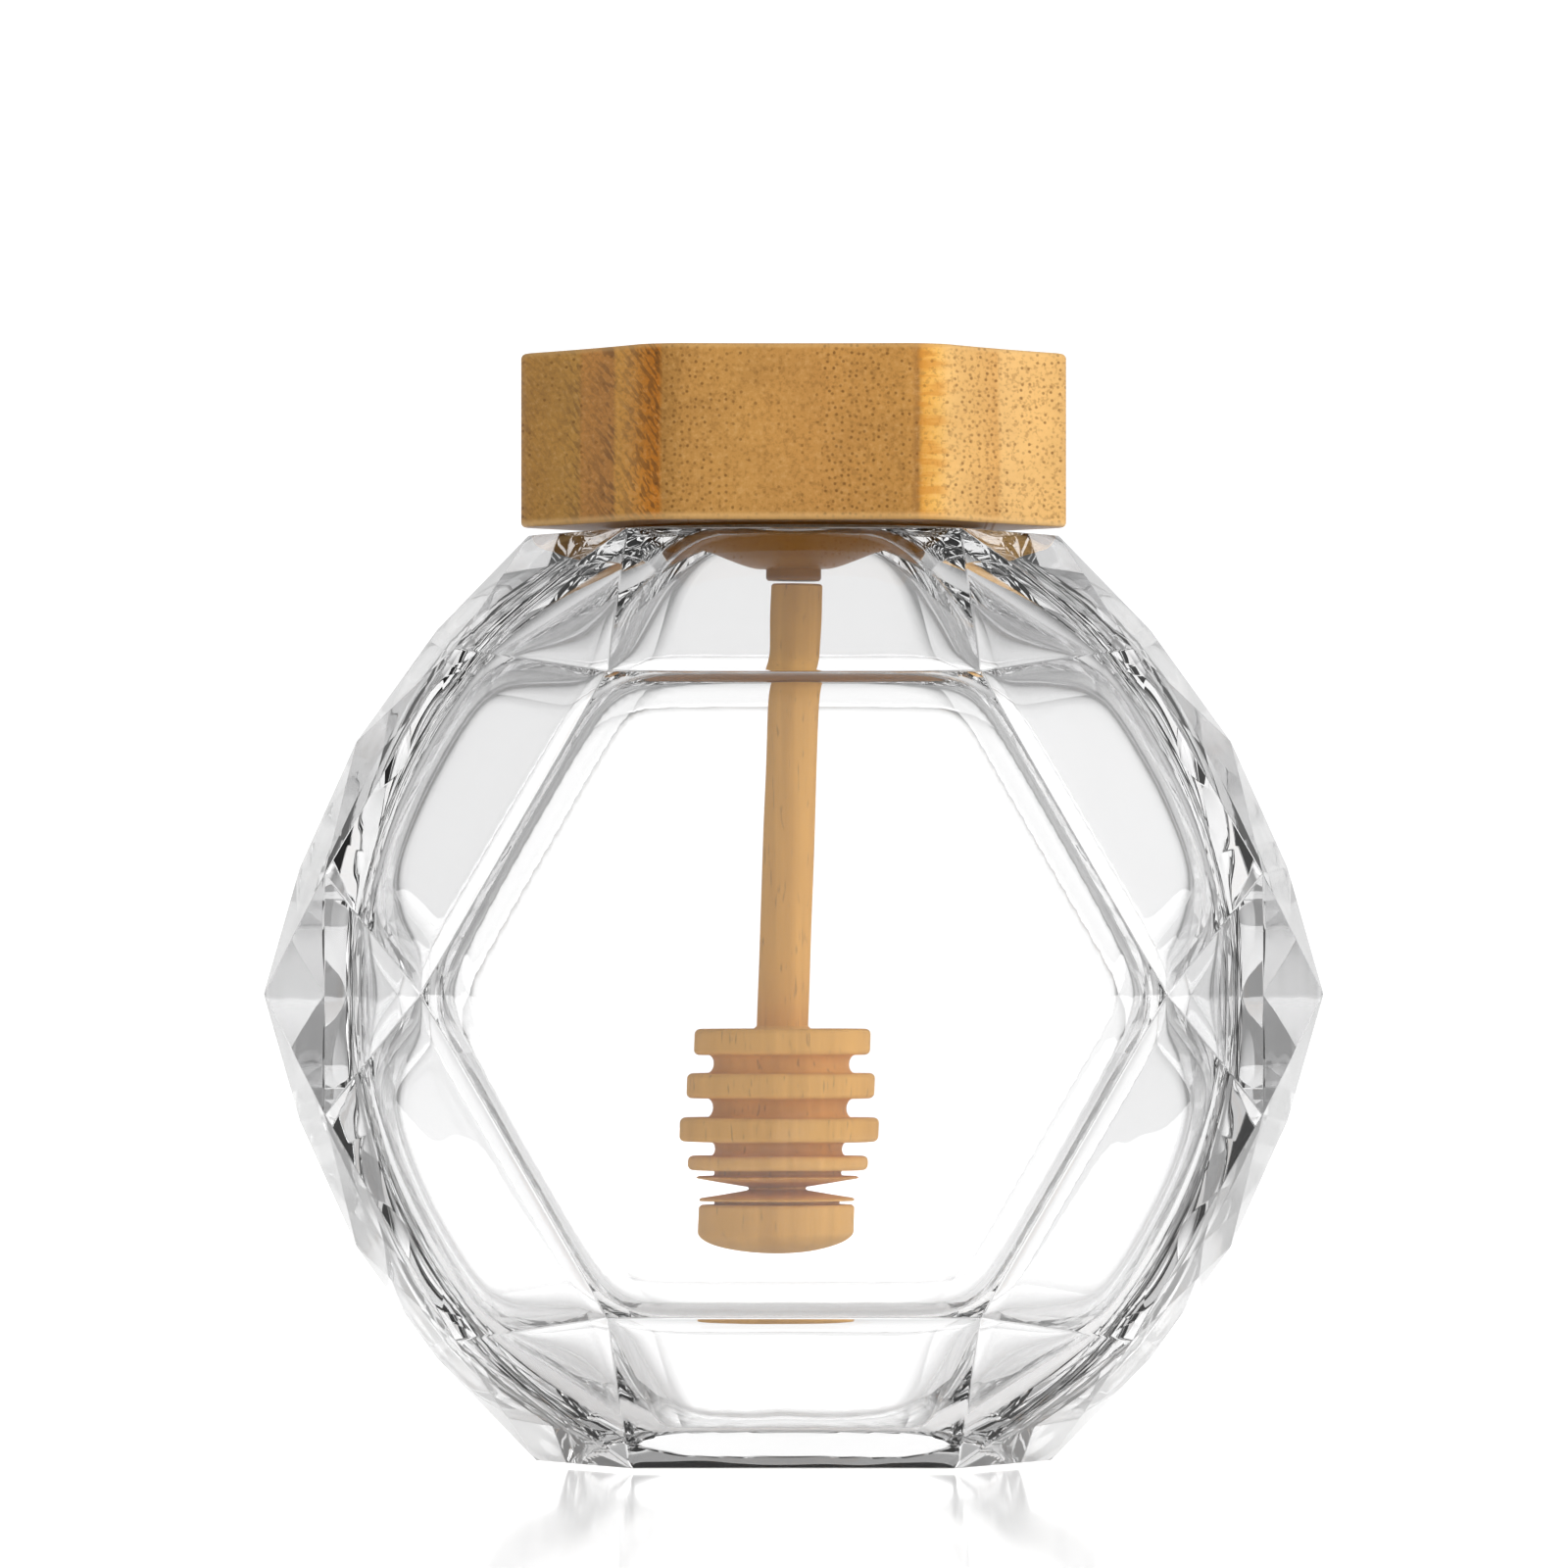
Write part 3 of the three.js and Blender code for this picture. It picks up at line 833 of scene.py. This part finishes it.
def plug_profile(sizes):
    """The plug and the hub under it, from the axis out and back"""
    low, (hub_low, hub_high) = LID_LOW[2], HUB_RADII
    profile = [(0.0, low), (COLLAR - COLLAR_ROUND, low), (COLLAR, low + COLLAR_ROUND)]
    profile += [(COLLAR, HUB_BOTTOM - COLLAR_ROUND / 2), (COLLAR + COLLAR_ROUND, HUB_BOTTOM)]
    for step in range(HUB_STEPS + 1):
        share = step / HUB_STEPS
        rise = (PLUG_BOTTOM - HUB_BOTTOM) * share ** HUB_CURVE
        height = HUB_BOTTOM + rise - math.sin(share * math.pi) * HUB_BULGE
        profile.append((hub_low + (hub_high - hub_low) * share, height))
    for step in range(PLUG_STEPS + 1):
        angle = step * math.pi / (2 * PLUG_STEPS)
        radius = sizes.plug - PLUG_ROUND + PLUG_ROUND * math.sin(angle)
        profile.append((radius, PLUG_BOTTOM + PLUG_ROUND - PLUG_ROUND * math.cos(angle)))
    profile += [(sizes.plug, PLUG_TOP), (0.0, PLUG_TOP)]
    return profile


# Faces under the lid that take the darker colour, partly stain and partly painted shade
def takes_stain_and_shade(face):
    looks_down = face.normal.z < LOOKS_DOWN
    return face.center.z < STAIN_AND_SHADE_TOP or (looks_down and face.center.z < STAIN_AND_SHADE_UNDERSIDE)


class HONEYJAR_OT_lid(bpy.types.Operator):
    """Build the bamboo lid with its plug"""

    bl_idname = "honeyjar.lid"
    bl_label = "Bamboo lid"

    def execute(self, context):
        sizes = settings().lid
        bamboo = bamboo_material(settings().finish)
        # The darker plug material, partly stain and partly painted shade under the lid
        stain_and_shade = bamboo_material(settings().finish, "plug_stain_and_shade", stain_and_shade=True)
        lid = lid_block(sizes)
        cut(lid, turned("plug", plug_profile(sizes), ROUND_STEPS, bamboo), "UNION")
        face_outwards(lid.data)
        lid.data.materials.clear()
        lid.data.materials.append(bamboo)
        lid.data.materials.append(stain_and_shade)
        for face in lid.data.polygons:
            face.material_index = int(takes_stain_and_shade(face))
        smooth(lid, 40.0)
        finished(lid, "bamboo", "lid_bamboo")
        return {"FINISHED"}


# Seal

SEAL_GAP = 0.3 * MM
SEAL_GROOVE = 0.7 * MM
SEAL_LIP = 0.22 * MM
# Height of a lip's middle above its edge, and half its height, as shares of its rounding
LIP_MIDDLE = 1.4
LIP_HALF = 1.2
LIP_STEPS = 7


def seal_profile(inner):
    """The ring's cross-section: a flat inside, and two round lips with a groove between them"""
    outer, low, high, lip = SEAL_HIGH[0], SEAL_LOW[2], SEAL_HIGH[2], SEAL_LIP
    profile = [(inner, low), (outer - lip, low)]
    for centre, way in ((low + lip * LIP_MIDDLE, -1), (high - lip * LIP_MIDDLE, 1)):
        if way > 0:
            profile.append((outer - SEAL_GROOVE, (low + high) / 2))
        for step in range(LIP_STEPS):
            angle = (step - LIP_STEPS // 2) * math.pi / LIP_STEPS
            profile.append((outer - lip + lip * math.cos(angle), centre + lip * LIP_HALF * math.sin(angle)))
    return profile + [(outer - lip, high), (inner, high), (inner, low)]


class HONEYJAR_OT_seal(bpy.types.Operator):
    """Build the silicone ring round the plug"""

    bl_idname = "honeyjar.seal"
    bl_label = "Seal ring"

    def execute(self, context):
        profile = seal_profile(settings().lid.plug + SEAL_GAP)
        seal = turned("seal", profile, ROUND_STEPS, silicone_material(settings().finish))
        smooth(seal, 40.0)
        finished(seal, "silicone", "seal_ring")
        return {"FINISHED"}


# Dipper

HEAD_RINGS = (
    # disc radius, disc height, groove radius, groove height, in millimetres
    (9.1, 2.7, 7.0, 1.9),
    (9.7, 2.6, 6.9, 2.0),
    (10.3, 2.5, 6.6, 1.45),
    (9.35, 1.5, 6.6, 0.55),
)
HEAD_WAIST = (
    # radius, drop below the last groove, in millimetres
    (6.6, 0.0), (8.2, 0.05), (8.5, 0.2), (8.3, 0.32), (5.4, 0.8), (3.0, 1.2), (2.9, 1.4), (3.1, 1.55),
    (5.4, 1.95), (7.9, 2.32), (8.1, 2.48), (8.0, 2.64), (6.6, 2.68), (6.5, 2.76), (6.5, 2.92), (6.6, 3.0),
    (7.85, 3.04),
)
DISC_ROUND = 0.55 * MM
# The edges of a thin disc are rounded by its height divided by this
DISC_ROUND_PART = 2.4
# Depth of a groove's round bottom, as a share of the groove's height
GROOVE_SHARE = 0.35
STICK_STEPS = 24
STICK_ROUND = 0.2 * MM
STICK_FOOT = 0.3 * MM
END_RADIUS = 8.1 * MM
END_STRAIGHT_LOW = 23.8 * MM
# Drop in millimetres from the waist to the full width of the end
END_EDGE = 0.25
# How far the top of the stick stands to the right, and how far to the left of the top the bottom hangs
TOP_OFFSET = 0.35 * MM
LEAN = 2.3 * MM


def arc(centre, radii, start, stop, steps):
    """Points on an ellipse between two angles in degrees"""
    points = []
    for step in range(steps + 1):
        angle = math.radians(start + (stop - start) * step / steps)
        points.append((centre[0] + radii[0] * math.cos(angle), centre[1] + radii[1] * math.sin(angle)))
    return points


def dipper_profile(sizes):
    """The turned outline from the top of the stick down to the rounded end"""
    top, low, stick = DIPPER_HIGH[2], DIPPER_LOW[2], sizes.stick
    profile = [(0.0, top), (stick - STICK_ROUND, top), (stick, top - STICK_ROUND)]
    for step in range(1, STICK_STEPS + 1):
        profile.append((stick, top - (top - sizes.head_top - STICK_FOOT) * step / STICK_STEPS))
    profile.append((stick + STICK_FOOT, sizes.head_top))
    height = sizes.head_top
    for disc, tall, groove, gap in HEAD_RINGS:
        disc, tall, groove, gap = disc * MM, tall * MM, groove * MM, gap * MM
        turn_in = min(DISC_ROUND, tall / DISC_ROUND_PART)
        profile += arc((disc - turn_in, height - turn_in), (turn_in, turn_in), 90, 0, 5)
        profile += arc((disc - turn_in, height - tall + turn_in), (turn_in, turn_in), 0, -90, 5)
        hollow = gap * GROOVE_SHARE
        profile += arc((groove + hollow, height - tall - gap / 2), (hollow, gap / 2), 90, 270, 8)
        height -= tall + gap
    profile += [(radius * MM, height - fall * MM) for radius, fall in HEAD_WAIST]
    profile.append((END_RADIUS, height - (HEAD_WAIST[-1][1] + END_EDGE) * MM))
    profile += arc((0.0, END_STRAIGHT_LOW), (END_RADIUS, END_STRAIGHT_LOW - low), 0, -90, 14)
    profile[-1] = (0.0, low)
    return profile


class HONEYJAR_OT_dipper(bpy.types.Operator):
    """Build the wooden dipper that hangs from the lid"""

    bl_idname = "honeyjar.dipper"
    bl_label = "Wooden dipper"

    def execute(self, context):
        sizes = settings().dipper
        beech = beech_material(settings().finish)
        rate = -LEAN / (DIPPER_HIGH[2] - DIPPER_LOW[2])
        dipper = turned("dipper_wood", dipper_profile(sizes), sizes.steps, beech, TOP_OFFSET, rate)
        smooth(dipper, 40.0)
        finished(dipper, "beech", "dipper")
        return {"FINISHED"}


# Stage

CAMERA_DISTANCE = 1.4
CAMERA_REACH = 50.0
FRAME_WIDTH = 162.7 * MM
FRAME_MIDDLE = Vector((-1.0 * MM, 0.0, 70.2 * MM))
EYE_HEIGHT = 50.0 * MM
SENSOR = 36.0
FLOOR_HALF = 3.0
# Just under the base, so that the two surfaces don't flicker
FLOOR_HEIGHT = -0.3 * MM
# How often light may be mirrored, pass a surface, and turn in all: the thick facets need many such turns
GLASS_BOUNCES = (9, 20, 28)
# Brightness of the tent round the jar by degrees from straight behind it
TENT = (
    (0.0, 1.10), (7.0, 1.06), (14.0, 0.76), (20.0, 0.32), (30.0, 0.30), (40.0, 0.42), (54.0, 0.62),
    (64.0, 0.58), (78.0, 0.36), (120.0, 0.38), (150.0, 0.60), (166.0, 0.95), (180.0, 1.05),
)
TENT_TOP = 1.2
KEY_WAY = (0.85, -0.45, 0.28)
KEY_POWER = 2.5
SIDE_POWER = 0.55
TOP_POWER = 0.30
# Brightness of the backdrop where the camera looks straight at it
BACKDROP = 1.15


def lobe(shader, way, middle, wide, narrow):
    """1 within a narrow cone, falling to 0 outside a wide one, both in degrees"""
    near = shader.node("ShaderNodeVectorMath", {"operation": "DOT_PRODUCT"}, {0: way, 1: middle})["Value"]
    return near.smooth(math.cos(math.radians(wide)), math.cos(math.radians(narrow)))


def studio_light():
    """A white tent with grey flanks, a soft key light from the front right, and one at each side"""
    world = bpy.data.worlds.new("studio")
    bpy.context.scene.world = world
    world.use_nodes = True
    tree = world.node_tree
    tree.nodes.clear()
    shader = Shader(tree)
    way = shader.node("ShaderNodeTexCoord")["Generated"]
    axes = shader.node("ShaderNodeSeparateXYZ", {}, {0: way})
    turn = shader.node("ShaderNodeMath", {"operation": "ARCCOSINE"}, {0: axes["Y"]})[0] / math.pi
    stops = [(angle / 180.0, (tone / TENT_TOP,) * 3 + (1.0,)) for angle, tone in TENT]
    tent = shader.node("ShaderNodeValToRGB", {"stops": stops}, {0: turn})
    tent_tone = shader.node("ShaderNodeRGBToBW", {}, {0: tent["Color"]})[0] * TENT_TOP
    key = lobe(shader, way, Vector(KEY_WAY).normalized(), 42.0, 14.0)
    right = lobe(shader, way, Vector((1.0, 0.0, 0.0)), 20.0, 9.0)
    left = lobe(shader, way, Vector((-1.0, 0.0, 0.0)), 20.0, 9.0)
    above = axes["Z"].smooth(0.55, 0.95)
    strength = tent_tone + key * KEY_POWER + right * SIDE_POWER + left * SIDE_POWER + above * TOP_POWER
    seen = shader.node("ShaderNodeLightPath")["Is Camera Ray"]
    shown = strength * (1.0 - seen) + seen * BACKDROP
    light = shader.node("ShaderNodeBackground", {}, {"Color": (1.0, 1.0, 1.0, 1.0), "Strength": shown})
    shader.node("ShaderNodeOutputWorld", {}, {"Surface": light[0]})


def table_top():
    edge, low = FLOOR_HALF, FLOOR_HEIGHT
    mesh = bpy.data.meshes.new("floor")
    corners = [(-edge, -edge, low), (edge, -edge, low), (edge, edge, low), (-edge, edge, low)]
    mesh.from_pydata(corners, [], [(0, 1, 2, 3)])
    mesh.update()
    floor = new_object("floor", mesh)
    floor.data.materials.append(floor_material())


def viewpoint(scene):
    """A level camera whose frame is shifted up, so that upright lines stay upright"""
    lens = bpy.data.cameras.new("view")
    lens.sensor_width = SENSOR
    lens.lens = SENSOR * CAMERA_DISTANCE / FRAME_WIDTH
    lens.shift_y = (FRAME_MIDDLE.z - EYE_HEIGHT) / FRAME_WIDTH
    lens.clip_end = CAMERA_REACH
    camera = new_object("view", lens)
    camera.location = (FRAME_MIDDLE.x, -CAMERA_DISTANCE, EYE_HEIGHT)
    camera.rotation_euler = (math.pi / 2, 0.0, 0.0)
    scene.camera = camera


class HONEYJAR_OT_stage(bpy.types.Operator):
    """Build the floor, the light and the camera"""

    bl_idname = "honeyjar.stage"
    bl_label = "Stage"

    def execute(self, context):
        table_top()
        studio_light()
        viewpoint(context.scene)
        context.scene.view_settings.view_transform = "Standard"
        paths = context.scene.cycles
        paths.glossy_bounces, paths.transmission_bounces, paths.max_bounces = GLASS_BOUNCES
        return {"FINISHED"}


class HONEYJAR_PT_panel(bpy.types.Panel):
    """Lists the pieces of the honey jar"""

    bl_idname = "HONEYJAR_PT_panel"
    bl_label = "Honey jar"
    bl_space_type = "VIEW_3D"
    bl_region_type = "UI"
    bl_category = "Honey jar"

    def draw(self, context):
        jar = context.scene.honey_jar
        for group in (jar.glass, jar.lid, jar.dipper, jar.finish):
            column = self.layout.column(align=True)
            for name in group.bl_rna.properties.keys():
                if name not in ("rna_type", "name"):
                    column.prop(group, name)
        for operator in STEPS:
            self.layout.operator(operator.bl_idname)


STEPS = (HONEYJAR_OT_stage, HONEYJAR_OT_glass, HONEYJAR_OT_lid, HONEYJAR_OT_seal, HONEYJAR_OT_dipper)
CLASSES = (GlassSizes, LidSizes, DipperSizes, Finishes, HoneyJar, *STEPS, HONEYJAR_PT_panel)


def register():
    for each in CLASSES:
        bpy.utils.register_class(each)
    bpy.types.Scene.honey_jar = PointerProperty(type=HoneyJar)


def unregister():
    del bpy.types.Scene.honey_jar
    for each in reversed(CLASSES):
        bpy.utils.unregister_class(each)


def main():
    register()
    bpy.ops.honeyjar.stage()
    bpy.ops.honeyjar.glass()
    bpy.ops.honeyjar.lid()
    bpy.ops.honeyjar.seal()
    bpy.ops.honeyjar.dipper()


if __name__ == "__main__":
    main()
